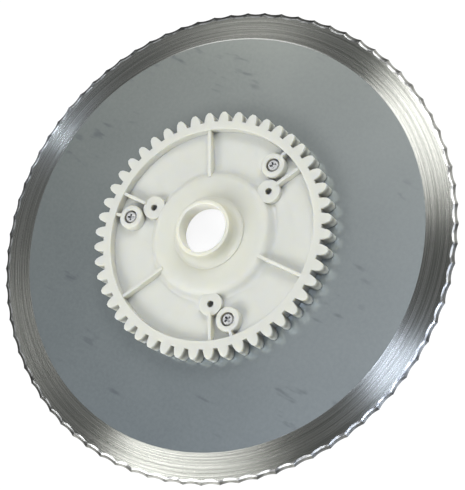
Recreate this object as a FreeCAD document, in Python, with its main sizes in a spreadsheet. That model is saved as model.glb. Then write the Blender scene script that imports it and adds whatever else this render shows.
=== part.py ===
import FreeCAD, Part
import math
import operator
import os
import Sketcher
from types import SimpleNamespace

# Food slicer blade: a serrated steel disc with a moulded drive gear screwed to its back.
# Millimetres and degrees. The front face of the disc lies at height zero, the axis is Z,
# and the hub points up. The first pilot boss lies on +X.

drivingSizes = {
    "discRadius": (95, "outer radius of the disc, at the points between two serrations"),
    "discThickness": (1.2, "sheet thickness inside the ground ring"),
    "discHoleRadius": (16, "hole in the middle of the disc"),
    "bevelWidth": (12, "width of the ground ring"),
    "edgeThickness": (0.25, "thickness that the ring alone would leave at the outer radius"),
    "serrationCount": (80, "hollows ground round the edge"),
    "serrationDepth": (0.5, "depth of one hollow in the outline"),
    "serrationReach": (1.2, "how far one hollow runs in over the bevel"),
    "serrationTurn": (1.5, "angle of the first hollow from +X"),
    "gearModule": (2, "pitch diameter for each tooth"),
    "toothCount": (48, "teeth of the drive gear"),
    "toothTurn": (-0.3, "angle of the first tooth from +X"),
    "pressureAngle": (20, "angle of the tooth flanks at the pitch circle"),
    "addendum": (1.3, "height of a tooth above the pitch circle"),
    "dedendum": (2.6, "depth of a gap below the pitch circle"),
    "tipWidth": (1.2, "flat top of a tooth"),
    "tipBevel": (0.9, "height of the bevels beside it"),
    "faceWidth": (6.3, "height of the rim and of its teeth"),
    "gearLift": (0.5, "gap between the disc and the underside of the web"),
    "rimWall": (3.1, "wall of the rim below the teeth"),
    "webThickness": (2.3, "floor between the rim and the raised middle"),
    "shellThickness": (1.9, "wall of the raised middle"),
    "plateauRadius": (23.35, "radius of the raised middle at its top edge"),
    "plateauHeight": (3.3, "height of that edge above the web"),
    "plateauFlare": (2.7, "how much wider its foot is than its top edge"),
    "crownRise": (0.6, "rise of the raised middle from its edge to the collar"),
    "collarWidth": (3.2, "width of the low step round the hub"),
    "collarHeight": (0.5, "height of that step"),
    "hubWall": (1.7, "wall of the hub tube"),
    "hubHeight": (13.4, "height of the hub rim above the back of the disc"),
    "hubBlend": (2.6, "how far the blend round the hub reaches up and out"),
    "boreRadius": (9.5, "bore for the drive shaft"),
    "boreLength": (6.8, "length of the straight bore"),
    "leadIn": (1.4, "how much the mouth widens below the bore"),
    "spigotWall": (1.9, "wall of the ring that centres the gear in the disc"),
    "spigotSetback": (0.3, "how far that ring stops short of the front face"),
    "spigotPlay": (0.1, "gap between the ring and the hole in the disc"),
    "seatWidth": (1.2, "shoulder that sits on the disc round the hole"),
    "bossCount": (3, "pilot bosses, and as many screws"),
    "ribWidth": (1.2, "thickness of a rib"),
    "ribHeight": (3.5, "height of a rib above the web"),
    "ribLap": (0.4, "how far the ends of a rib run into the walls that they meet"),
    "pilotReach": (4.45, "from the top edge of the raised middle out to a pilot boss"),
    "pilotBossRadius": (4.6, "outer radius of a pilot boss"),
    "pilotBossHeight": (2.5, "height of a pilot boss above the web"),
    "pilotHoleRadius": (1.35, "blind hole in a pilot boss"),
    "pilotHoleDepth": (3.8, "depth of that hole"),
    "screwInset": (6.8, "from the inner wall of the rim in to a screw"),
    "screwTurn": (12, "angle from a pilot boss to the screw beside it"),
    "screwBossRadius": (4.8, "outer radius of a screw boss"),
    "screwBossHeight": (3.7, "height of a screw boss above the web"),
    "screwRadius": (1.25, "thread radius of a screw"),
    "screwSetback": (0.25, "how far a screw stops short of the front face"),
    "threadPlay": (0.05, "gap between a screw and its hole in the disc"),
    "holePlay": (0.2, "gap between a screw and its hole in the gear"),
    "headRadius": (2.5, "radius of a screw head"),
    "headHeight": (2, "height of a screw head"),
    "crownRadius": (1.9, "radius of the flat top of a screw head"),
    "headPlay": (0.25, "gap round a screw head"),
    "headSink": (0.25, "how far a screw head lies below the boss"),
    "recessSpan": (2.8, "width over the cross recess"),
    "recessArm": (0.8, "width of one arm of the recess"),
    "recessDepth": (1.3, "depth of the recess"),
    "bossBevel": (0.45, "bevel round the top of a screw boss"),
    "plateauBevel": (1, "bevel on the top edge of the raised middle"),
    "footBevel": (0.8, "bevel where the raised middle meets the web"),
    "lipBevel": (0.35, "bevel on both edges of the hub rim"),
}

# How far each screw happens to be turned about its own axis, in degrees.
screwTwists = [20, 67, 41]

# The blend round the hub takes at most this share of the collar that it lies on. It is two
# cones, each this many degrees on from its neighbour.
blendShare = 0.9
blendStep = 30

document = FreeCAD.newDocument("SlicerBlade")


class Size:
    """A measure: its value now, and how it follows from the cells of the sheet."""

    def __init__(self, value, text):
        self.value = float(value)
        self.text = text

    def join(self, sign, work, other):
        other = asSize(other)
        return Size(work(self.value, other.value), f"({self.text} {sign} {other.text})")

    def __add__(self, other):
        return self.join("+", operator.add, other)

    def __sub__(self, other):
        return self.join("-", operator.sub, other)

    def __mul__(self, other):
        return self.join("*", operator.mul, other)

    def __truediv__(self, other):
        return self.join("/", operator.truediv, other)

    def __radd__(self, other):
        return asSize(other) + self

    def __rsub__(self, other):
        return asSize(other) - self

    def __rmul__(self, other):
        return asSize(other) * self

    def __rtruediv__(self, other):
        return asSize(other) / self

    def __neg__(self):
        return 0 - self


def asSize(thing):
    return thing if isinstance(thing, Size) else Size(thing, str(thing))


def sine(angle):
    return Size(math.sin(math.radians(angle.value)), f"sin({angle.text} * 1deg)")


def cosine(angle):
    return Size(math.cos(math.radians(angle.value)), f"cos({angle.text} * 1deg)")


def tangent(angle):
    return Size(math.tan(math.radians(angle.value)), f"tan({angle.text} * 1deg)")


def arcCosine(ratio):
    return Size(math.degrees(math.acos(ratio.value)), f"(acos({ratio.text}) / 1deg)")


def squareRoot(square):
    return Size(math.sqrt(square.value), f"sqrt({square.text})")


def smaller(first, second):
    return Size(min(first.value, second.value), f"min({first.text}; {second.text})")


def larger(first, second):
    return Size(max(first.value, second.value), f"max({first.text}; {second.text})")


def makeSheet():
    sheet = document.addObject("Spreadsheet::Sheet", "Sizes")
    for row, (name, (value, note)) in enumerate(drivingSizes.items(), start=1):
        sheet.set(f"A{row}", name)
        sheet.set(f"B{row}", str(value))
        sheet.set(f"C{row}", note)
        sheet.setAlias(f"B{row}", name)
    document.recompute()


makeSheet()
size = SimpleNamespace(**{
    name: Size(value, f"Sizes.{name}") for name, (value, note) in drivingSizes.items()
})

# Heights and radii that follow from the driving sizes.
gearBase = size.discThickness + size.gearLift
rimTop = gearBase + size.faceWidth
webTop = gearBase + size.webThickness
webMiddle = webTop - size.webThickness / 2
plateauEdge = webTop + size.plateauHeight
plateauCrown = plateauEdge + size.crownRise
collarTop = plateauCrown + size.collarHeight
hubTop = size.discThickness + size.hubHeight
boreEnd = hubTop - size.boreLength
cavityCeiling = plateauEdge - size.shellThickness
pitchRadius = size.gearModule * size.toothCount / 2
baseRadius = pitchRadius * cosine(size.pressureAngle)
rootRadius = pitchRadius - size.dedendum
tipRadius = pitchRadius + size.addendum
rimInner = rootRadius - size.rimWall
rimCore = rootRadius - size.rimWall / 4
toothFoot = rootRadius - size.rimWall / 2
hubRadius = size.boreRadius + size.hubWall
collarRadius = hubRadius + size.collarWidth
plateauFoot = size.plateauRadius + size.plateauFlare
spigotOuter = size.discHoleRadius - size.spigotPlay
spigotInner = spigotOuter - size.spigotWall
seatOuter = spigotOuter + size.seatWidth
pilotCircle = size.plateauRadius + size.pilotReach
screwCircle = rimInner - size.screwInset
pilotTop = webTop + size.pilotBossHeight
screwBossTop = webTop + size.screwBossHeight
headSeat = screwBossTop - size.headHeight - size.headSink
bevelSlope = (size.discThickness - size.edgeThickness) / size.bevelWidth


def makeBody(label):
    body = document.addObject("PartDesign::Body", label)
    body.Label = label
    return body


def originFeature(body, role):
    return next(feature for feature in body.Origin.OriginFeatures if feature.Role == role)


def addSketch(body, name, plane, radius=0, angle=0, height=0):
    """Sketch on an origin plane of the body. On XZ_Plane its upright axis is moved out
    to a radius and turned to an angle; on XY_Plane it is turned and lifted to a height."""
    radius, angle, height = asSize(radius), asSize(angle), asSize(height)
    upright = FreeCAD.Vector(0, 1, 0) if plane == "XZ_Plane" else FreeCAD.Vector(0, 0, 1)
    sketch = body.newObject("Sketcher::SketchObject", name)
    sketch.AttachmentSupport = [(originFeature(body, plane), "")]
    sketch.MapMode = "FlatFace"
    sketch.AttachmentOffset = FreeCAD.Placement(FreeCAD.Vector(), FreeCAD.Rotation(upright, 1))
    sketch.setExpression(".AttachmentOffset.Rotation.Angle", f"{angle.text} * 1deg")
    if plane == "XZ_Plane":
        sketch.setExpression(".AttachmentOffset.Base.x", (radius * cosine(angle)).text)
        sketch.setExpression(".AttachmentOffset.Base.z", (-(radius * sine(angle))).text)
    else:
        sketch.setExpression(".AttachmentOffset.Base.z", height.text)
    return sketch


def bindPoint(sketch, name, geometry, place, x, y):
    """Holds one point of the sketch at two measures from its origin."""
    for axis, distance in (("X", asSize(x)), ("Y", asSize(y))):
        constraint = Sketcher.Constraint(f"Distance{axis}", geometry, place, distance.value)
        index = sketch.addConstraint(constraint)
        sketch.renameConstraint(index, name + axis)
        sketch.setExpression(f"Constraints.{name}{axis}", distance.text)


def addOutline(sketch, corners):
    """Closed outline of straight lines through named corners."""
    spots = [FreeCAD.Vector(asSize(x).value, asSize(y).value, 0) for name, x, y in corners]
    following = spots[1:] + spots[:1]
    lines = [Part.LineSegment(*ends) for ends in zip(spots, following)]
    edges = sketch.addGeometry(lines, False)
    for number, edge in enumerate(edges):
        nextEdge = edges[(number + 1) % len(edges)]
        sketch.addConstraint(Sketcher.Constraint("Coincident", edge, 2, nextEdge, 1))
    for edge, (name, x, y) in zip(edges, corners):
        bindPoint(sketch, name, edge, 1, x, y)


def addCircle(sketch, out, radius):
    """Circle whose centre lies out along the sketch's own X axis."""
    shape = Part.Circle(FreeCAD.Vector(out.value, 0, 0), FreeCAD.Vector(0, 0, 1), radius.value)
    circle = sketch.addGeometry(shape, False)
    bindPoint(sketch, "centre", circle, 3, out, 0)
    index = sketch.addConstraint(Sketcher.Constraint("Radius", circle, radius.value))
    sketch.renameConstraint(index, "radius")
    sketch.setExpression("Constraints.radius", radius.text)


def spin(body, kind, name, sketch, angle=360):
    """Revolution or Groove of a sketch about the sketch's own upright axis."""
    feature = body.newObject(f"PartDesign::{kind}", name)
    feature.Profile = sketch
    feature.ReferenceAxis = (sketch, ["V_Axis"])
    feature.Angle = angle
    feature.Midplane = angle < 360
    body.Tip = feature
    return feature


def extrude(body, kind, name, sketch, length):
    """Pad or Pocket of a sketch."""
    feature = body.newObject(f"PartDesign::{kind}", name)
    feature.Profile = sketch
    feature.setExpression("Length", length.text)
    body.Tip = feature
    return feature


def repeat(body, name, originals, count):
    """The features, spread evenly round the body's own Z axis."""
    feature = body.newObject("PartDesign::PolarPattern", name)
    feature.Originals = originals
    feature.Axis = (originFeature(body, "Z_Axis"), [""])
    feature.Angle = 360
    feature.setExpression("Occurrences", count.text)
    body.Tip = feature
    return feature


def bevelEdges(body, name, amount, corners):
    """Chamfer on the full circles that pass through the given corners."""
    document.recompute()
    base = body.Tip
    near = 0.01
    edges = []
    for number, edge in enumerate(base.Shape.Edges, start=1):
        if not isinstance(edge.Curve, Part.Circle):
            continue
        for radius, height in corners:
            offRadius = abs(edge.Curve.Radius - radius.value)
            offHeight = abs(edge.Curve.Center.z - height.value)
            if max(offRadius, offHeight) < near:
                edges.append(f"Edge{number}")
    feature = body.newObject("PartDesign::Chamfer", name)
    feature.Base = (base, edges)
    feature.setExpression("Size", amount.text)
    body.Tip = feature


def makeDisc():
    """Steel disc: flat front, ground ring on the back, serrated edge, four holes."""
    body = makeBody("blade_disc")
    blankRadius = size.discRadius + size.serrationDepth
    blankEdge = size.edgeThickness - size.serrationDepth * bevelSlope
    blank = addSketch(body, "discSection", "XZ_Plane")
    addOutline(blank, [
        ("holeFront", size.discHoleRadius, 0),
        ("edgeFront", blankRadius, 0),
        ("edgeBack", blankRadius, blankEdge),
        ("bevelInner", size.discRadius - size.bevelWidth, size.discThickness),
        ("holeBack", size.discHoleRadius, size.discThickness),
    ])
    spin(body, "Revolution", "discBlank", blank)

    # One hollow is a piece of a cone, as a round stone leaves it, and it brings the edge down
    # to nothing. The stone's radius makes neighbouring hollows meet on the outer radius.
    halfPitch = 180 / size.serrationCount
    halfChord = size.discRadius * sine(halfPitch)
    rise = size.discRadius * cosine(halfPitch) - size.discRadius + size.serrationDepth
    stoneRadius = (halfChord * halfChord + rise * rise) / (2 * rise)
    stoneCentre = size.discRadius - size.serrationDepth + stoneRadius
    surface = size.edgeThickness + (size.serrationDepth + size.serrationReach) * bevelSlope
    splay = size.serrationReach / surface * size.discThickness
    hollowSketch = addSketch(body, "hollowSection", "XZ_Plane", stoneCentre, size.serrationTurn)
    addOutline(hollowSketch, [
        ("coneBottom", splay - stoneRadius, -size.discThickness),
        ("coneTop", -splay - stoneRadius, size.discThickness),
        ("outerTop", -stoneRadius / 2, size.discThickness),
        ("outerBottom", -stoneRadius / 2, -size.discThickness),
    ])
    sweep = 3 * math.degrees(math.asin(halfChord.value / stoneRadius.value))
    hollow = spin(body, "Groove", "hollow", hollowSketch, sweep)
    repeat(body, "hollows", [hollow], size.serrationCount)

    holeSketch = addSketch(body, "tappedCircle", "XY_Plane", angle=size.screwTurn,
                           height=size.discThickness)
    addCircle(holeSketch, screwCircle, size.screwRadius + size.threadPlay)
    tappedHole = extrude(body, "Pocket", "tappedHole", holeSketch, 2 * size.discThickness)
    repeat(body, "tappedHoles", [tappedHole], size.bossCount)
    return body


def flankAngle(radius):
    """Half of the angle that a tooth fills at a radius, on its involute flank."""
    turn = Size(180 / math.pi, "(180 / pi)")
    rolled = arcCosine(baseRadius / radius)
    atPitch = tangent(size.pressureAngle) * turn - size.pressureAngle
    atRadius = tangent(rolled) * turn - rolled
    return 90 / size.toothCount + atPitch - atRadius


def addTooth(sketch):
    """One tooth on the sketch's X axis with its share of the rim. Each flank is the arc
    through three points of the involute, and bevels lead from the flanks to a flat top."""
    halfPitch = 180 / size.toothCount
    flankStart = larger(rootRadius, baseRadius)
    flankEnd = tipRadius - size.tipBevel
    flank = []
    for radius in (flankStart, (flankStart + flankEnd) / 2, flankEnd):
        flank.append((radius * cosine(flankAngle(radius)), radius * sine(flankAngle(radius))))
    tipCorner = (tipRadius, size.tipWidth / 2)
    gapMiddle = (rootRadius * cosine(halfPitch), rootRadius * sine(halfPitch))
    footCorner = (toothFoot, toothFoot * tangent(halfPitch))

    bevels, walls = [], []
    for side, sign in (("upper", 1), ("lower", -1)):
        def spot(corner):
            return FreeCAD.Vector(corner[0].value, sign * corner[1].value, 0)

        def bind(name, geometry, place, corner):
            bindPoint(sketch, side + name, geometry, place, corner[0], sign * corner[1])

        # Sketch arcs run anticlockwise, so the upper flank starts at its outer end.
        outer, inner = (1, 2) if sign > 0 else (2, 1)
        spots = [spot(corner) for corner in flank]
        flankArc = sketch.addGeometry(Part.Arc(*(spots[::-1] if sign > 0 else spots)), False)
        for number, corner in enumerate(flank[:2]):
            guide = sketch.addGeometry(Part.Point(spot(corner)), True)
            bind(f"Flank{number}", guide, 1, corner)
            sketch.addConstraint(Sketcher.Constraint("PointOnObject", guide, 1, flankArc))
        bevel = sketch.addGeometry(Part.LineSegment(spot(flank[2]), spot(tipCorner)), False)
        rootLine = sketch.addGeometry(Part.LineSegment(spot(flank[0]), spot(gapMiddle)), False)
        wall = sketch.addGeometry(Part.LineSegment(spot(gapMiddle), spot(footCorner)), False)
        bind("Shoulder", bevel, 1, flank[2])
        bind("Tip", bevel, 2, tipCorner)
        bind("Gap", wall, 1, gapMiddle)
        bind("Foot", wall, 2, footCorner)
        sketch.addConstraint([
            Sketcher.Constraint("Coincident", flankArc, outer, bevel, 1),
            Sketcher.Constraint("Coincident", flankArc, inner, rootLine, 1),
            Sketcher.Constraint("Coincident", rootLine, 2, wall, 1),
            Sketcher.Constraint("Perpendicular", rootLine, wall),
        ])
        bevels.append(bevel)
        walls.append(wall)

    for corner, sides in ((tipCorner, bevels), (footCorner, walls)):
        ends = [FreeCAD.Vector(corner[0].value, sign * corner[1].value, 0) for sign in (1, -1)]
        chord = sketch.addGeometry(Part.LineSegment(*ends), False)
        sketch.addConstraint(Sketcher.Constraint("Coincident", chord, 1, sides[0], 2))
        sketch.addConstraint(Sketcher.Constraint("Coincident", chord, 2, sides[1], 2))


def addRib(body, name, inner, outer, angle):
    """One rib that stands on the web and runs outward from the axis between two radii."""
    sketch = addSketch(body, f"{name}Outline", "XY_Plane", angle=angle, height=webMiddle)
    half = size.ribWidth / 2
    addOutline(sketch, [
        ("innerRight", inner, -half),
        ("outerRight", outer, -half),
        ("outerLeft", outer, half),
        ("innerLeft", inner, half),
    ])
    return extrude(body, "Pad", name, sketch, webTop - webMiddle + size.ribHeight)


def makeGear():
    """Drive gear, one moulding: toothed rim, web, ribs, bosses, raised middle and hub."""
    body = makeBody("drive_gear")

    # The wall of the raised middle is as thick across its slope as on top.
    slope = size.plateauFlare / size.plateauHeight
    wallAcross = size.shellThickness * squareRoot(1 + slope * slope)
    cavityEdge = size.plateauRadius + size.shellThickness * slope - wallAcross
    cavityFoot = size.plateauRadius + (plateauEdge - gearBase) * slope - wallAcross
    blend = smaller(size.hubBlend, size.collarWidth * blendShare)
    blendMiddle = blend / (1 + 1 / tangent(asSize(blendStep)))
    section = addSketch(body, "gearSection", "XZ_Plane")
    addOutline(section, [
        ("boreTop", size.boreRadius, hubTop),
        ("boreBottom", size.boreRadius, boreEnd),
        ("mouth", size.boreRadius + size.leadIn, cavityCeiling),
        ("spigotInnerTop", spigotInner, cavityCeiling),
        ("spigotInnerEnd", spigotInner, size.spigotSetback),
        ("spigotOuterEnd", spigotOuter, size.spigotSetback),
        ("seatInner", spigotOuter, size.discThickness),
        ("seatOuter", seatOuter, size.discThickness),
        ("cavityInner", seatOuter, cavityCeiling),
        ("cavityOuter", cavityEdge, cavityCeiling),
        ("cavityFoot", cavityFoot, gearBase),
        ("rimBottom", rimCore, gearBase),
        ("rimTopOuter", rimCore, rimTop),
        ("rimTopInner", rimInner, rimTop),
        ("rimFoot", rimInner, webTop),
        ("plateauFoot", plateauFoot, webTop),
        ("plateauEdge", size.plateauRadius, plateauEdge),
        ("collarFoot", collarRadius, plateauCrown),
        ("collarEdge", collarRadius, collarTop),
        ("blendFoot", hubRadius + blend, collarTop),
        ("blendMiddle", hubRadius + blendMiddle, collarTop + blendMiddle),
        ("hubFoot", hubRadius, collarTop + blend),
        ("hubTop", hubRadius, hubTop),
    ])
    spin(body, "Revolution", "gearBlank", section)
    bevelEdges(body, "plateauBevel", size.plateauBevel, [(size.plateauRadius, plateauEdge)])
    bevelEdges(body, "footBevel", size.footBevel, [(plateauFoot, webTop)])
    lipRings = [(hubRadius, hubTop), (size.boreRadius, hubTop)]
    bevelEdges(body, "lipBevel", size.lipBevel, lipRings)

    toothSketch = addSketch(body, "toothOutline", "XY_Plane", angle=size.toothTurn, height=gearBase)
    addTooth(toothSketch)
    tooth = extrude(body, "Pad", "tooth", toothSketch, size.faceWidth)
    repeat(body, "teeth", [tooth], size.toothCount)

    # Plain ribs and ribs with a pilot boss take turns. A screw boss stands beside each
    # pilot boss, with a short rib of its own out to the rim.
    ribEnd = rimInner + size.ribLap
    bossWall = pilotCircle + size.pilotBossRadius - size.ribLap
    plainTurn = 180 / size.bossCount
    plainRib = addRib(body, "plainRib", size.plateauRadius - size.ribLap, ribEnd, plainTurn)
    pilotRib = addRib(body, "pilotRib", bossWall, ribEnd, 0)
    screwRib = addRib(body, "screwRib", screwCircle, ribEnd, size.screwTurn)

    pilotSketch = addSketch(body, "pilotBossCircle", "XY_Plane", height=gearBase)
    addCircle(pilotSketch, pilotCircle, size.pilotBossRadius)
    pilotBoss = extrude(body, "Pad", "pilotBoss", pilotSketch, pilotTop - gearBase)

    bossSketch = addSketch(body, "screwBossSection", "XZ_Plane", screwCircle, size.screwTurn)
    addOutline(bossSketch, [
        ("axisBottom", 0, size.discThickness),
        ("wallBottom", size.screwBossRadius, size.discThickness),
        ("wallTop", size.screwBossRadius, screwBossTop - size.bossBevel),
        ("faceEdge", size.screwBossRadius - size.bossBevel, screwBossTop),
        ("axisTop", 0, screwBossTop),
    ])
    screwBoss = spin(body, "Revolution", "screwBoss", bossSketch)
    raised = [plainRib, pilotRib, screwRib, pilotBoss, screwBoss]
    repeat(body, "ribsAndBosses", raised, size.bossCount)

    holeSketch = addSketch(body, "pilotHoleCircle", "XY_Plane", height=pilotTop)
    addCircle(holeSketch, pilotCircle, size.pilotHoleRadius)
    pilotHole = extrude(body, "Pocket", "pilotHole", holeSketch, size.pilotHoleDepth)

    aboveBoss = screwBossTop + size.headHeight
    screwSketch = addSketch(body, "screwHoleSection", "XZ_Plane", screwCircle, size.screwTurn)
    addOutline(screwSketch, [
        ("axisBottom", 0, 0),
        ("shankBottom", size.screwRadius + size.holePlay, 0),
        ("shankTop", size.screwRadius + size.holePlay, headSeat),
        ("headBottom", size.headRadius + size.headPlay, headSeat),
        ("headTop", size.headRadius + size.headPlay, aboveBoss),
        ("axisTop", 0, aboveBoss),
    ])
    screwHole = spin(body, "Groove", "screwHole", screwSketch)
    repeat(body, "bossHoles", [pilotHole, screwHole], size.bossCount)
    return body


def makeScrew(number, twist):
    """Screw with a tapered head and a cross recess. Its own origin is under its head."""
    body = makeBody(f"screw_{number}")
    shankEnd = size.screwSetback - headSeat
    section = addSketch(body, f"screwSection{number}", "XZ_Plane")
    addOutline(section, [
        ("tipAxis", 0, shankEnd),
        ("tipEdge", size.screwRadius, shankEnd),
        ("shankTop", size.screwRadius, 0),
        ("headUnder", size.headRadius, 0),
        ("crownEdge", size.crownRadius, size.headHeight),
        ("headTop", 0, size.headHeight),
    ])
    spin(body, "Revolution", f"screwBlank{number}", section)

    cross = addSketch(body, f"crossOutline{number}", "XY_Plane", height=size.headHeight)
    arm, reach = size.recessArm / 2, size.recessSpan / 2
    corners = []
    for quadrant in range(4):
        for place, (x, y) in enumerate([(reach, arm), (arm, arm), (arm, reach)]):
            turned = [(x, y), (-y, x), (-x, -y), (y, -x)][quadrant]
            corners.append((f"corner{quadrant}{place}", *turned))
    addOutline(cross, corners)
    extrude(body, "Pocket", f"crossRecess{number}", cross, size.recessDepth)

    angle = size.screwTurn + (number - 1) * 360 / size.bossCount
    upright = FreeCAD.Vector(0, 0, 1)
    body.Placement = FreeCAD.Placement(FreeCAD.Vector(), FreeCAD.Rotation(upright, twist))
    body.setExpression(".Placement.Base.x", (screwCircle * cosine(angle)).text)
    body.setExpression(".Placement.Base.y", (screwCircle * sine(angle)).text)
    body.setExpression(".Placement.Base.z", headSeat.text)
    return body


def checkDocument(bodies):
    """Stops on a failed feature, a loose sketch or an unsound solid."""
    document.recompute()
    for item in document.Objects:
        if "Invalid" in item.State or "Error" in item.State:
            raise RuntimeError(f"{item.Label} failed: {item.State}")
        if item.TypeId == "Sketcher::SketchObject" and not item.FullyConstrained:
            raise RuntimeError(f"{item.Label} is not fully constrained")
    for body in bodies:
        shape = body.Shape
        if shape.isNull() or not shape.isValid() or len(shape.Solids) != 1:
            raise RuntimeError(f"{body.Label} is not one sound solid")
        print(f"{body.Label}: {shape.Volume:.1f} cubic mm, {len(shape.Faces)} faces")


bodies = [makeDisc(), makeGear()]
for number in range(1, int(size.bossCount.value) + 1):
    bodies.append(makeScrew(number, screwTwists[(number - 1) % len(screwTwists)]))
checkDocument(bodies)

os.makedirs("parts", exist_ok=True)
for body in bodies:
    body.Shape.exportStep(f"parts/{body.Label}.step")
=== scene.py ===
# Food slicer blade on a pale table: finishes, table, lights and camera round the CAD frame.
import math
import bpy
from mathutils import Matrix, Vector


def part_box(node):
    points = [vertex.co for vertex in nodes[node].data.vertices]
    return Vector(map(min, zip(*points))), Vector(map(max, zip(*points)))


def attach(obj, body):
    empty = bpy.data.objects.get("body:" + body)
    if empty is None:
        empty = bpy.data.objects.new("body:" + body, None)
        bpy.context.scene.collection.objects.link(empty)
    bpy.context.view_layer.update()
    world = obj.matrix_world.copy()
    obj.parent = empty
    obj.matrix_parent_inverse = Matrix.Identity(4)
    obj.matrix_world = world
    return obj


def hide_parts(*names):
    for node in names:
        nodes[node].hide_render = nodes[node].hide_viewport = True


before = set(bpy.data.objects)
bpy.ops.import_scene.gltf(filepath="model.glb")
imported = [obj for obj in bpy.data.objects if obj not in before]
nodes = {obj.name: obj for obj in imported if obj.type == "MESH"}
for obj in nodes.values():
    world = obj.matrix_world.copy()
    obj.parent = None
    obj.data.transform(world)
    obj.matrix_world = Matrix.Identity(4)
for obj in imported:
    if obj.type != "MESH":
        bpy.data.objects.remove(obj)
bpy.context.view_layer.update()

scene = bpy.context.scene
screwNames = sorted(name for name in nodes if name.startswith("screw_"))
mm = 0.001
print("frame loaded with", len(nodes), "pieces")


# Small helpers for material trees.
def newMaterial(name):
    material = bpy.data.materials.new(name)
    material.use_nodes = True
    tree = material.node_tree
    tree.nodes.clear()
    return material, tree


def addNode(tree, kind, sockets=None, **settings):
    node = tree.nodes.new(kind)
    for key, value in settings.items():
        setattr(node, key, value)
    for key, value in (sockets or {}).items():
        if isinstance(value, bpy.types.NodeSocket):
            tree.links.new(value, node.inputs[key])
        else:
            node.inputs[key].default_value = value
    return node


def calc(tree, operation, first, second=0.0):
    return addNode(tree, "ShaderNodeMath", {0: first, 1: second}, operation=operation).outputs[0]


# Turns the values of a span into those of another, and holds them beyond its ends.
def remap(tree, value, span, result, smooth=True):
    kind = "SMOOTHSTEP" if smooth else "LINEAR"
    sockets = {0: value, 1: span[0], 2: span[1], 3: result[0], 4: result[1]}
    return addNode(tree, "ShaderNodeMapRange", sockets, interpolation_type=kind).outputs[0]


def mixColours(tree, amount, first, second, how="MIX"):
    node = addNode(tree, "ShaderNodeMix", data_type="RGBA", blend_type=how)
    for socket, value in (("Factor_Float", amount), ("A_Color", first), ("B_Color", second)):
        target = next(item for item in node.inputs if item.identifier == socket)
        if isinstance(value, bpy.types.NodeSocket):
            tree.links.new(value, target)
        else:
            target.default_value = value
    return next(item for item in node.outputs if item.identifier == "Result_Color")


def noise(tree, vector, scale, detail=3.0, roughness=0.55):
    sockets = {"Vector": vector, "Scale": scale, "Detail": detail, "Roughness": roughness}
    return addNode(tree, "ShaderNodeTexNoise", sockets).outputs["Fac"]


def combine(tree, x, y, z):
    return addNode(tree, "ShaderNodeCombineXYZ", {0: x, 1: y, 2: z}).outputs[0]


def splitUp(tree, vector):
    return addNode(tree, "ShaderNodeSeparateXYZ", {0: vector}).outputs


# How far a place lies towards a side.
def towards(tree, place, side):
    node = addNode(tree, "ShaderNodeVectorMath", {0: place, 1: side}, operation="DOT_PRODUCT")
    return node.outputs["Value"]


# Radius and height in millimetres and the direction round the axis, for turned and ground finishes.
def polarPlace(tree):
    place = addNode(tree, "ShaderNodeTexCoord").outputs["Object"]
    parts = splitUp(tree, place)
    flat = combine(tree, parts[0], parts[1], 0.0)
    length = addNode(tree, "ShaderNodeVectorMath", {0: flat}, operation="LENGTH").outputs["Value"]
    return {
        "place": place,
        "radius": calc(tree, "DIVIDE", length, mm),
        "height": calc(tree, "DIVIDE", parts[2], mm),
        "outward": addNode(tree, "ShaderNodeVectorMath", {0: flat}, operation="NORMALIZE").outputs[0],
    }


# Lines that run round the axis: fine across, long along.
def ringLines(tree, polar, perMm, stretch, detail=4.0):
    sides = splitUp(tree, polar["outward"])
    across = calc(tree, "MULTIPLY", polar["radius"], perMm)
    x = calc(tree, "MULTIPLY", sides[0], stretch)
    y = calc(tree, "MULTIPLY", sides[1], stretch)
    return noise(tree, combine(tree, x, y, across), scale=1.0, detail=detail)


# Two values added, each by its share.
def blend(tree, first, firstShare, second, secondShare):
    firstPart = calc(tree, "MULTIPLY", first, firstShare)
    secondPart = calc(tree, "MULTIPLY", second, secondShare)
    return calc(tree, "ADD", firstPart, secondPart)


def bump(tree, height, look, normal=None):
    sockets = {"Height": height, "Distance": look["bumpDepth"], "Strength": look["bumpStrength"]}
    if normal is not None:
        sockets["Normal"] = normal
    return addNode(tree, "ShaderNodeBump", sockets).outputs[0]


def softEdges(tree, radius):
    return addNode(tree, "ShaderNodeBevel", {"Radius": radius}, samples=6).outputs[0]


# How open a place is, from 0 deep in a corner to 1 on a free face.
def openness(tree, reach, **settings):
    node = addNode(tree, "ShaderNodeAmbientOcclusion", {"Distance": reach}, samples=8, **settings)
    return node.outputs["AO"]


def finishWith(tree, shader):
    addNode(tree, "ShaderNodeOutputMaterial", {"Surface": shader})


def coat(tree, sockets):
    finishWith(tree, addNode(tree, "ShaderNodeBsdfPrincipled", sockets).outputs[0])


def shifted(base, span):
    return (base + span[0], base + span[1])


usual = (0.3, 0.7)    # most values of a noise lie between these
rising = (0.0, 1.0)
falling = (1.0, 0.0)


# The disc, cut anew over its CAD solid: the same disc with longer and deeper hollows, a slightly
# thicker edge and a honed line. Lengths in mm, angles in degrees.
discShape = {
    "outerRadius": 95.0,     # out to the points between two hollows
    "holeRadius": 16.0,
    "thickness": 1.2,
    "ringWidth": 12.0,
    "edgeThickness": 0.36,   # what the ring alone would leave at the outer radius
    "hollows": 80,
    "hollowDepth": 0.68,     # in the outline
    "hollowReach": 1.7,      # in over the ring
    "firstHollow": 1.4,      # from +X
    "honedHeight": 0.30,     # how high the honed line climbs
    "stepsRound": 14,        # for each hollow
    "stepsIn": 3,            # over a hollow, and over the ring
    "faceRings": (64.0, 48.0, 27.0),
    "settles": 24,           # rounds that find where a hollow meets the ring
    "screwHole": 1.3,
    "drillLength": 6,        # in thicknesses of the disc
    "drillSides": 40,
}
discZones = ("flat", "ring", "hollow", "honed")


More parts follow.
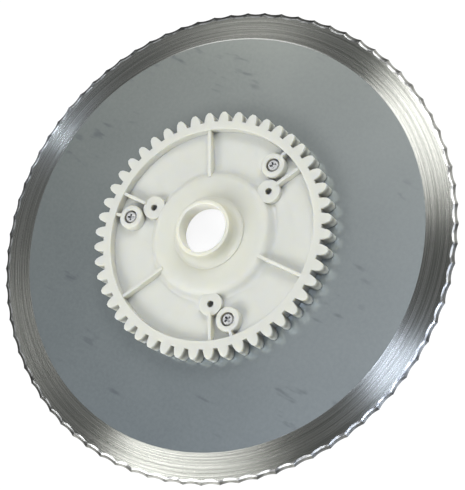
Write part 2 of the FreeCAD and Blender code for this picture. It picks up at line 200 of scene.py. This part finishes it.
# The stone that cuts a hollow, a cone that opens upward, and the slope of the ring.
def stoneOf(shape):
    halfPitch = math.pi / shape["hollows"]
    halfChord = shape["outerRadius"] * math.sin(halfPitch)
    rise = shape["outerRadius"] * (math.cos(halfPitch) - 1) + shape["hollowDepth"]
    radius = (halfChord ** 2 + rise ** 2) / (2 * rise)
    slope = (shape["thickness"] - shape["edgeThickness"]) / shape["ringWidth"]
    surface = shape["edgeThickness"] + (shape["hollowDepth"] + shape["hollowReach"]) * slope
    centre = shape["outerRadius"] - shape["hollowDepth"] + radius
    return {"radius": radius, "centre": centre, "slope": slope, "spread": shape["hollowReach"] / surface}


# How far out the wall of a hollow lies, at a height and at an angle from the hollow's middle.
def hollowAt(stone, offset, height):
    wide = stone["radius"] + height * stone["spread"]
    aside = stone["centre"] * math.sin(offset)
    return stone["centre"] * math.cos(offset) - math.sqrt(wide ** 2 - aside ** 2)


def ringHeight(shape, stone, radius):
    return shape["edgeThickness"] + (shape["outerRadius"] - radius) * stone["slope"]


# One radial section of the disc from the hole out along the front, up the hollow and back inward.
# Each point has the name of the finish that starts there.
def discSection(shape, stone, offset):
    steps = shape["stepsIn"]
    honed = shape["honedHeight"]
    top = shape["edgeThickness"]
    for settle in range(shape["settles"]):
        top = ringHeight(shape, stone, hollowAt(stone, offset, top))
    section = [(shape["holeRadius"], 0.0, "flat"), (hollowAt(stone, offset, 0.0), 0.0, "honed")]
    for step in range(steps + 1):
        height = honed + (top - honed) * step / steps
        section.append((hollowAt(stone, offset, height), height, "hollow" if step < steps else "ring"))
    outer = section[-1][0]
    inner = shape["outerRadius"] - shape["ringWidth"]
    for step in range(1, steps + 1):
        radius = outer + (inner - outer) * step / steps
        section.append((radius, ringHeight(shape, stone, radius), "ring" if step < steps else "flat"))
    for radius in (*shape["faceRings"], shape["holeRadius"]):
        section.append((radius, shape["thickness"], "flat"))
    return section


def discMesh(shape):
    stone = stoneOf(shape)
    pitch = 2 * math.pi / shape["hollows"]
    spokes = shape["hollows"] * shape["stepsRound"]
    points, faces, zones = [], [], []
    for spoke in range(spokes):
        hollow, step = divmod(spoke, shape["stepsRound"])
        offset = (step / shape["stepsRound"] - 0.5) * pitch
        angle = math.radians(shape["firstHollow"]) + hollow * pitch + offset
        section = discSection(shape, stone, offset)
        rows = len(section)
        here = spoke * rows
        there = (spoke + 1) % spokes * rows
        for row, (radius, height, zone) in enumerate(section):
            after = (row + 1) % rows
            points.append((radius * mm * math.cos(angle), radius * mm * math.sin(angle), height * mm))
            faces.append((here + row, there + row, there + after, here + after))
            zones.append(discZones.index(zone))
    mesh = bpy.data.meshes.new("groundDisc")
    mesh.from_pydata(points, [], faces)
    mesh.polygons.foreach_set("material_index", zones)
    return mesh


# Drills the three screw holes through the finished mesh.
def drillHoles(disc, shape):
    for name in screwNames:
        low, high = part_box(name)
        bpy.ops.mesh.primitive_cylinder_add(
            vertices=shape["drillSides"], radius=shape["screwHole"] * mm,
            depth=shape["drillLength"] * shape["thickness"] * mm,
            location=((low[0] + high[0]) / 2, (low[1] + high[1]) / 2, 0))
        drill = bpy.context.object
        cut = disc.modifiers.new("hole", "BOOLEAN")
        cut.operation = "DIFFERENCE"
        cut.object = drill
        cut.material_mode = "INDEX"
        graph = bpy.context.evaluated_depsgraph_get()
        drilled = bpy.data.meshes.new_from_object(disc.evaluated_get(graph))
        disc.modifiers.clear()
        disc.data = drilled
        bpy.data.objects.remove(drill)


# Steel of the disc: matte inside, ground ring, bright hollows and a honed line at the very edge painted dark,
# a painted dark reflection.
# Sides are directions in the CAD frame, scales are per metre, bump depths in metres.
discLook = {
    "face": {
        "steel": (0.330, 0.362, 0.382, 1),
        "paintedSheen": (0.68, 0.715, 0.73, 1),
        "paintedSheenSide": (-0.66, -0.75, 0.0),    # towards the side painted lighter, a painted sheen
        "paintedSheenShare": 0.85,
        "reach": 0.09,                      # from the axis to where a side is at its full
        "cloudScale": 14.0,
        "cloudShare": 0.15,
        "speckleScale": 700.0,
        "speckleShare": 0.06,
        "warmReflectionTint": (1.0, 1.0, 0.90, 1),
        "blueReflectionTint": (0.93, 0.98, 1.0, 1),
        "blueReflectionSide": (-0.60, 0.80, 0.0),     # towards the side with the bluer painted reflection tint
        "smudge": (0.20, 0.22, 0.25, 1),
        "smudgeShare": 0.5,
        "rubAreas": (0.53, 0.66),           # noise values where marks begin, and where they are full
        "rubAreaScale": 40.0,
        "rubDashes": (0.55, 0.72),
        "rubDashScale": (90.0, 330.0, 90.0),
        "rubTurn": 0.6,
        "metal": 0.72,
        "roughness": (0.21, 0.24),
        "grainScale": 2600.0,
        "bumpDepth": 0.000002,
        "bumpStrength": 0.08,
    },
    "ring": {
        "dark": (0.38, 0.39, 0.355, 1),
        "light": (0.76, 0.76, 0.72, 1),
        "contrast": (0.39, 0.61),
        "fineLines": (12.0, 2.5),           # lines per mm, and how short they are
        "wideLines": (2.4, 1.2),
        "fineShare": 0.45,
        "wideShare": 0.55,
        "lipHighlight": (1.0, 1.0, 0.95, 1),         # painted highlight along the ring's inner border
        "lipHighlightSide": (0.33, -0.94, 0.0),
        "lipHighlightEnds": (0.86, 0.99),
        "lipHighlightWidth": (0.3, 0.5),             # mm, bright up to the first and gone at the second
        "lipHighlightMetal": 0.6,
        "roughness": (0.34, 0.23),
        "anisotropy": 0.96,
        "bumpDepth": 0.00001,
        "bumpStrength": 0.45,
    },
    "hollow": {
        "dark": (0.13, 0.13, 0.13, 1),
        "light": (0.72, 0.73, 0.73, 1),
    },
    # Honed line painted nearly black, a painted dark reflection along the very edge.
    "honed": {
        "dark": (0.07, 0.07, 0.065, 1),
        "light": (0.15, 0.15, 0.14, 1),
    },
    "edge": {                               # shared by hollows and honed line
        "contrast": (0.40, 0.56),
        "scratches": (16.0, 40.0),
        "patches": (0.9, 28.0),
        "scratchShare": 0.35,
        "patchShare": 0.65,
        "cuspShade": 0.05,                  # painted shade: how much darker the points between two hollows are
        "roughness": (0.42, 0.34),
        "bumpDepth": 0.000004,
        "bumpStrength": 0.3,
    },
}


# Matte face with soft clouds, fine speckle and a few dark rub marks, a painted sheen lighter towards one side
# and a painted reflection tint bluer towards another.
def steelOfFace(look):
    material, tree = newMaterial("matteBladeSteel")
    place = polarPlace(tree)["place"]
    sideToSide = (-look["reach"], look["reach"])
    cloud = noise(tree, place, look["cloudScale"])
    speckle = noise(tree, place, look["speckleScale"], detail=4.0, roughness=0.7)
    grain = noise(tree, place, look["grainScale"], detail=2.0)
    # Painted sheen: the face is painted lighter towards one side.
    paintedSheen = remap(tree, towards(tree, place, look["paintedSheenSide"]), sideToSide, (0.0, look["paintedSheenShare"]), False)
    clouds = remap(tree, cloud, usual, (0.0, look["cloudShare"]))
    specks = remap(tree, speckle, usual, (-look["speckleShare"], look["speckleShare"]))
    tone = calc(tree, "ADD", paintedSheen, calc(tree, "ADD", clouds, specks))
    colour = mixColours(tree, tone, look["steel"], look["paintedSheen"])
    # Painted reflection tint: bluer towards one side, warmer towards the other.
    blueShare = remap(tree, towards(tree, place, look["blueReflectionSide"]), sideToSide, rising, False)
    reflectionTint = mixColours(tree, blueShare, look["warmReflectionTint"], look["blueReflectionTint"])
    colour = mixColours(tree, 1.0, colour, reflectionTint, "MULTIPLY")
    turned = addNode(tree, "ShaderNodeMapping", {
        "Vector": place, "Rotation": (0, 0, look["rubTurn"]), "Scale": look["rubDashScale"],
    }).outputs[0]
    rubArea = noise(tree, place, look["rubAreaScale"], detail=2.0, roughness=0.4)
    rubDash = noise(tree, turned, scale=1.0, detail=2.0, roughness=0.5)
    rubs = calc(tree, "MULTIPLY", remap(tree, rubArea, look["rubAreas"], rising),
                remap(tree, rubDash, look["rubDashes"], (0.0, look["smudgeShare"])))
    coat(tree, {
        "Base Color": mixColours(tree, rubs, colour, look["smudge"]),
        "Metallic": look["metal"],
        "Roughness": remap(tree, grain, usual, look["roughness"]),
        "Normal": bump(tree, grain, look),
    })
    return material


# Ground ring: the wheel leaves lines round the axis, so light spreads in spokes. A thin painted highlight
# runs along the inner border on one side.
def steelOfRing(look, shape):
    material, tree = newMaterial("groundBladeSteel")
    polar = polarPlace(tree)
    fine = ringLines(tree, polar, *look["fineLines"])
    wide = ringLines(tree, polar, *look["wideLines"])
    lines = blend(tree, fine, look["fineShare"], wide, look["wideShare"])
    colour = mixColours(tree, remap(tree, lines, look["contrast"], rising), look["dark"], look["light"])
    inner = shape["outerRadius"] - shape["ringWidth"]
    # Painted highlight along the ring's inner border, on one side only.
    lipHighlightPart = remap(tree, towards(tree, polar["outward"], look["lipHighlightSide"]), look["lipHighlightEnds"], rising)
    lipHighlightFade = remap(tree, polar["radius"], shifted(inner, look["lipHighlightWidth"]), falling)
    lipHighlight = calc(tree, "MULTIPLY", lipHighlightPart, lipHighlightFade)
    coat(tree, {
        "Base Color": mixColours(tree, lipHighlight, colour, look["lipHighlight"]),
        "Metallic": remap(tree, lipHighlight, rising, (1.0, look["lipHighlightMetal"]), False),
        "Roughness": remap(tree, fine, usual, look["roughness"]),
        "Anisotropic": look["anisotropy"],
        "Tangent": polar["outward"],
        "Normal": bump(tree, lines, look),
    })
    return material


# Hollows and honed line: the fine scratches of the stone, with a painted highlight in the middle of each
# hollow and painted shade at the points between.
def steelOfEdge(name, tones, look, shape):
    material, tree = newMaterial(name)
    polar = polarPlace(tree)
    scratches = ringLines(tree, polar, *look["scratches"])
    patches = ringLines(tree, polar, *look["patches"], detail=2.0)
    sides = splitUp(tree, polar["outward"])
    around = calc(tree, "ARCTAN2", sides[1], sides[0])
    fromFirst = calc(tree, "SUBTRACT", around, math.radians(shape["firstHollow"]))
    # Painted highlight in the middle of each hollow, painted shade at the points between.
    hollowMiddleSheen = calc(tree, "COSINE", calc(tree, "MULTIPLY", fromFirst, shape["hollows"]))
    uneven = blend(tree, scratches, look["scratchShare"], patches, look["patchShare"])
    tone = calc(tree, "ADD", uneven, calc(tree, "MULTIPLY", hollowMiddleSheen, look["cuspShade"]))
    shine = remap(tree, tone, look["contrast"], rising)
    coat(tree, {
        "Base Color": mixColours(tree, shine, tones["dark"], tones["light"]),
        "Metallic": 1.0,
        "Roughness": remap(tree, scratches, usual, look["roughness"]),
        "Normal": bump(tree, scratches, look),
    })
    return material


# Off-white moulded plastic of the gear, with painted light on the bore wall and painted shade in corners,
# holes and down the teeth. Radii, heights and fades in mm, other lengths in metres.
gearLook = {
    "plastic": (0.613, 0.615, 0.570, 1),
    "creamy": (0.642, 0.637, 0.546, 1),
    "creamyRadius": (12.0, 30.0),
    "creamyShare": (1.0, 0.25),
    "cloudScale": 60.0,
    "dust": (0.52, 0.51, 0.44, 1),
    "dustClouds": (0.52, 0.72),
    "dustShare": 0.10,
    "dustGrain": (0.6, 1.0),
    "boreRadius": 9.5,                  # of the hub
    "boreWallLight": (0.86, 0.85, 0.76, 1),  # painted light on the bore wall
    "boreFade": (0.1, 0.4),
    "corner": (0.16, 0.15, 0.12, 1),    # painted shade deep in the holes and corners
    "cornerReach": 0.003,
    "cornerOpen": (0.1, 0.6),
    "cornerDirt": 0.8,
    "cornerFade": (0.5, 3.0),           # out from the bore
    "rootRadius": 45.4,                 # between the teeth
    "rimTop": 8.0,
    "teethShade": (0.20, 0.19, 0.16, 1),    # painted shade down the teeth
    "teethShadeShare": 0.72,
    "teethFade": (-0.2, 0.1),           # out from the root circle
    "teethShadeFade": (-2.2, -0.3),         # down from the rim's top
    "tipLightShare": 0.62,                 # painted lighter low on the tips
    "tipLightOut": (1.0, 3.0),
    "tipLightDown": (-4.6, -2.6),
    "roughness": (0.37, 0.49),
    "ior": 1.48,
    "glow": 0.70,
    "glowDepth": 0.005,
    "glowTint": (1.0, 0.9, 0.6),
    "edgeRounding": 0.00035,
    "grainScale": 1500.0,
    "bumpDepth": 0.000012,
    "bumpStrength": 0.5,
}


# Painted shade of the teeth: dark down the flanks, and less of it at the foot of the tips, where they are
# painted lighter.
def shadeOfTeeth(tree, polar, look):
    root, top = look["rootRadius"], look["rimTop"]
    teeth = remap(tree, polar["radius"], shifted(root, look["teethFade"]), rising)
    tips = remap(tree, polar["radius"], shifted(root, look["tipLightOut"]), rising)
    down = remap(tree, polar["height"], shifted(top, look["teethShadeFade"]), falling)
    foot = remap(tree, polar["height"], shifted(top, look["tipLightDown"]), (look["tipLightShare"], 0.0))
    share = calc(tree, "SUBTRACT", look["teethShadeShare"], calc(tree, "MULTIPLY", foot, tips))
    return calc(tree, "MULTIPLY", calc(tree, "MULTIPLY", teeth, down), share)


def plasticOfGear(look):
    material, tree = newMaterial("mouldedGearPlastic")
    polar = polarPlace(tree)
    bore = look["boreRadius"]
    cloud = noise(tree, polar["place"], look["cloudScale"])
    grain = noise(tree, polar["place"], look["grainScale"], roughness=0.6)
    warmth = remap(tree, polar["radius"], look["creamyRadius"], look["creamyShare"])
    colour = mixColours(tree, warmth, look["plastic"], look["creamy"])
    dust = calc(tree, "MULTIPLY", remap(tree, cloud, look["dustClouds"], (0.0, look["dustShare"])),
                remap(tree, grain, usual, look["dustGrain"]))
    colour = mixColours(tree, dust, colour, look["dust"])
    # Painted light: the bore wall is painted lighter.
    boreWallLight = remap(tree, polar["radius"], shifted(bore, look["boreFade"]), falling)
    colour = mixColours(tree, boreWallLight, colour, look["boreWallLight"])
    # Painted shade in corners and holes, darker where a place is less open.
    cornerShadeMask = remap(tree, openness(tree, look["cornerReach"]), look["cornerOpen"], (look["cornerDirt"], 0.0))
    fromBore = remap(tree, polar["radius"], shifted(bore, look["cornerFade"]), rising)
    colour = mixColours(tree, calc(tree, "MULTIPLY", cornerShadeMask, fromBore), colour, look["corner"])
    coat(tree, {
        "Base Color": mixColours(tree, shadeOfTeeth(tree, polar, look), colour, look["teethShade"]),
        "Roughness": remap(tree, cloud, usual, look["roughness"]),
        "Normal": bump(tree, grain, look, softEdges(tree, look["edgeRounding"])),
        "IOR": look["ior"],
        "Subsurface Weight": look["glow"],
        "Subsurface Radius": look["glowTint"],
        "Subsurface Scale": look["glowDepth"],
    })
    return material


# Bright steel of the screws, with painted shade in the recess.
screwLook = {
    "steel": (0.86, 0.86, 0.85, 1),
    "worn": (0.70, 0.70, 0.69, 1),
    "wornScale": 700.0,
    "wornClouds": (0.4, 0.7),
    "wornShare": 0.6,
    "recess": (0.03, 0.03, 0.03, 1),
    "recessReach": 0.0010,
    "recessOpen": (0.25, 0.65),
    "metal": 0.5,
    "roughness": (0.19, 0.34),
    "edgeRounding": 0.00012,
    "grainScale": 4000.0,
    "bumpDepth": 0.000002,
    "bumpStrength": 0.3,
}


def steelOfScrews(look):
    material, tree = newMaterial("brightScrewSteel")
    place = polarPlace(tree)["place"]
    cloud = noise(tree, place, look["wornScale"])
    grain = noise(tree, place, look["grainScale"])
    worn = remap(tree, cloud, look["wornClouds"], (0.0, look["wornShare"]))
    colour = mixColours(tree, worn, look["steel"], look["worn"])
    # Painted shade in the cross recess, darker where it is less open.
    recessShadeMask = remap(tree, openness(tree, look["recessReach"], only_local=True), look["recessOpen"], falling)
    coat(tree, {
        "Base Color": mixColours(tree, recessShadeMask, colour, look["recess"]),
        "Metallic": look["metal"],
        "Roughness": remap(tree, grain, usual, look["roughness"]),
        "Normal": bump(tree, grain, look, softEdges(tree, look["edgeRounding"])),
    })
    return material


# Welds the facets and keeps only real edges sharp, so that curved walls shade smoothly.
shading = {"weldWithin": 0.000002, "sharpFrom": {"disc": 3.0, "gear": 50.0, "screws": 32.0}}


def smoothingGroup(values, sharpFrom):
    group = bpy.data.node_groups.new("smoothWalls", "GeometryNodeTree")
    group.interface.new_socket("Geometry", in_out="INPUT", socket_type="NodeSocketGeometry")
    group.interface.new_socket("Geometry", in_out="OUTPUT", socket_type="NodeSocketGeometry")
    source = group.nodes.new("NodeGroupInput").outputs[0]
    weld = addNode(group, "GeometryNodeMergeByDistance", {
        "Geometry": source, "Distance": values["weldWithin"],
    })
    faces = addNode(group, "GeometryNodeSetShadeSmooth", {
        0: weld.outputs[0], "Shade Smooth": True,
    }, domain="FACE")
    angle = group.nodes.new("GeometryNodeInputMeshEdgeAngle").outputs[0]
    gentle = addNode(group, "FunctionNodeCompare", {
        0: angle, 1: math.radians(sharpFrom),
    }, operation="LESS_THAN")
    edges = addNode(group, "GeometryNodeSetShadeSmooth", {
        0: faces.outputs[0], "Shade Smooth": gentle.outputs[0],
    }, domain="EDGE")
    group.links.new(edges.outputs[0], group.nodes.new("NodeGroupOutput").inputs[0])
    return group


def dress(piece, materials, values, kind, even=False):
    piece.data.materials.clear()
    for material in materials:
        piece.data.materials.append(material)
    piece.modifiers.new("smoothWalls", "NODES").node_group = smoothingGroup(values, values["sharpFrom"][kind])
    if even:
        weighted = piece.modifiers.new("evenNormals", "WEIGHTED_NORMAL")
        weighted.keep_sharp = True


# The materials are in the order of discZones. Clearing the slots forgets the zones, so they are set again.
def makeDisc(shape, look):
    disc = bpy.data.objects.new("groundDisc", discMesh(shape))
    scene.collection.objects.link(disc)
    for zone in discZones:
        disc.data.materials.append(None)
    drillHoles(disc, shape)
    zones = [polygon.material_index for polygon in disc.data.polygons]
    hollow = steelOfEdge("hollowBladeSteel", look["hollow"], look["edge"], shape)
    # The honed line's steel is painted dark, a painted dark reflection.
    honed = steelOfEdge("honedBladeSteelPaintedDark", look["honed"], look["edge"], shape)
    dress(disc, [steelOfFace(look["face"]), steelOfRing(look["ring"], shape), hollow, honed], shading, "disc")
    disc.data.polygons.foreach_set("material_index", zones)
    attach(disc, "root")
    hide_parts("blade_disc")


makeDisc(discShape, discLook)
print("disc done")
dress(nodes["drive_gear"], [plasticOfGear(gearLook)], shading, "gear", even=True)
print("gear done")
screwSteel = steelOfScrews(screwLook)
for name in screwNames:
    dress(nodes[name], [screwSteel], shading, "screws")
print("screws done")


# Pale table under the disc, lighter where it is seen than where it lights the object.
tableLook = {"size": 8.0, "gap": 0.0001, "colour": (0.50, 0.50, 0.50, 1), "seenShare": 0.30, "lift": 0.88}


def makeTable(look):
    half = look["size"] / 2
    corners = [(x, y, -look["gap"]) for x, y in ((-half, -half), (half, -half), (half, half), (-half, half))]
    mesh = bpy.data.meshes.new("tableTop")
    mesh.from_pydata(corners, [], [(0, 1, 2, 3)])
    table = bpy.data.objects.new("tableTop", mesh)
    scene.collection.objects.link(table)
    material, tree = newMaterial("palePaper")
    paths = addNode(tree, "ShaderNodeLightPath").outputs
    direct = calc(tree, "MAXIMUM", paths["Is Camera Ray"], paths["Is Glossy Ray"])
    seen = calc(tree, "MAXIMUM", direct, paths["Is Transmission Ray"])
    faint = [look["seenShare"] * channel for channel in look["colour"][:3]] + [1]
    shade = mixColours(tree, seen, look["colour"], faint)
    paper = addNode(tree, "ShaderNodeBsdfDiffuse", {"Color": shade}).outputs[0]
    lift = calc(tree, "MULTIPLY", seen, look["lift"])
    glow = addNode(tree, "ShaderNodeEmission", {"Strength": lift}).outputs[0]
    finishWith(tree, addNode(tree, "ShaderNodeAddShader", {0: paper, 1: glow}).outputs[0])
    mesh.materials.append(material)


makeTable(tableLook)
print("table done")


# Soft boxes left and right, three small lamps for the ground ring, and a room that is pale low down.
# Directions are seen from the disc: azimuth round the axis, elevation above the table, in degrees.
# The azimuths count in the photograph's own turn, and lampTurn brings them round to the CAD frame.
lampTurn = -104.08
lampList = [
    {"name": "leftBox", "azimuth": 184.8, "elevation": 42.0, "distance": 0.95,
     "size": (0.67, 0.50), "watts": 7.3, "colour": (1, 1, 0.99)},
    {"name": "rightBox", "azimuth": 9.0, "elevation": 46.0, "distance": 0.95,
     "size": (0.54, 0.50), "watts": 5.0, "colour": (1, 1, 0.99)},
    {"name": "backLamp", "azimuth": 70.0, "elevation": 50.0, "distance": 0.95,
     "size": (0.12, 0.12), "watts": 0.036, "colour": (1, 1, 0.95)},
    {"name": "farLamp", "azimuth": 96.0, "elevation": 15.0, "distance": 0.95,
     "size": (0.03, 0.10), "watts": 0.46, "colour": (0.78, 0.86, 1)},
    {"name": "frontLamp", "azimuth": 273.0, "elevation": 70.0, "distance": 1.2,
     "size": (0.22, 0.12), "watts": 3.7, "colour": (0.74, 0.82, 1)},
]
roomLook = {"low": 0.46, "high": 0.13, "rise": (0.15, 0.62), "colour": (0.97, 0.99, 1.0, 1)}


def pointAt(place, aim, roll=0.0):
    turn = (Vector(aim) - Vector(place)).to_track_quat("-Z", "Y").to_matrix().to_4x4()
    return Matrix.Translation(place) @ turn @ Matrix.Rotation(math.radians(roll), 4, "Z")


def makeLamp(values):
    lamp = bpy.data.lights.new(values["name"], "AREA")
    lamp.shape = "RECTANGLE"
    lamp.size, lamp.size_y = values["size"]
    lamp.energy = values["watts"]
    lamp.color = values["colour"]
    azimuth = math.radians(values["azimuth"] + lampTurn)
    elevation = math.radians(values["elevation"])
    across = math.cos(elevation)
    place = Vector((math.cos(azimuth) * across, math.sin(azimuth) * across, math.sin(elevation)))
    holder = bpy.data.objects.new(values["name"], lamp)
    holder.matrix_world = pointAt(place * values["distance"], (0, 0, 0))
    scene.collection.objects.link(holder)


def makeRoom(look):
    room = bpy.data.worlds.new("paleRoom")
    room.use_nodes = True
    tree = room.node_tree
    tree.nodes.clear()
    direction = addNode(tree, "ShaderNodeTexCoord").outputs["Generated"]
    upward = splitUp(tree, direction)[2]
    strength = remap(tree, upward, look["rise"], (look["low"], look["high"]))
    light = addNode(tree, "ShaderNodeBackground", {"Color": look["colour"], "Strength": strength}).outputs[0]
    addNode(tree, "ShaderNodeOutputWorld", {"Surface": light})
    scene.world = room


for values in lampList:
    makeLamp(values)
makeRoom(roomLook)
scene.view_settings.view_transform = "Standard"
print("lights done")


# Camera of the photograph, in metres and degrees, lens and sensor in mm.
cameraSettings = {
    "place": (-0.24187, 0.03814, 0.44478),
    "aim": (-0.00743, -0.00022, 0.0),
    "roll": -54.45,
    "lens": 96.22,
    "sensor": 36.0,
    "clipStart": 0.01,
}


def makeCamera(values):
    camera = bpy.data.objects.new("photoCamera", bpy.data.cameras.new("photoCamera"))
    camera.data.lens = values["lens"]
    camera.data.sensor_width = values["sensor"]
    camera.data.clip_start = values["clipStart"]
    camera.matrix_world = pointAt(values["place"], values["aim"], values["roll"])
    scene.collection.objects.link(camera)
    scene.camera = camera


makeCamera(cameraSettings)
print("camera done")
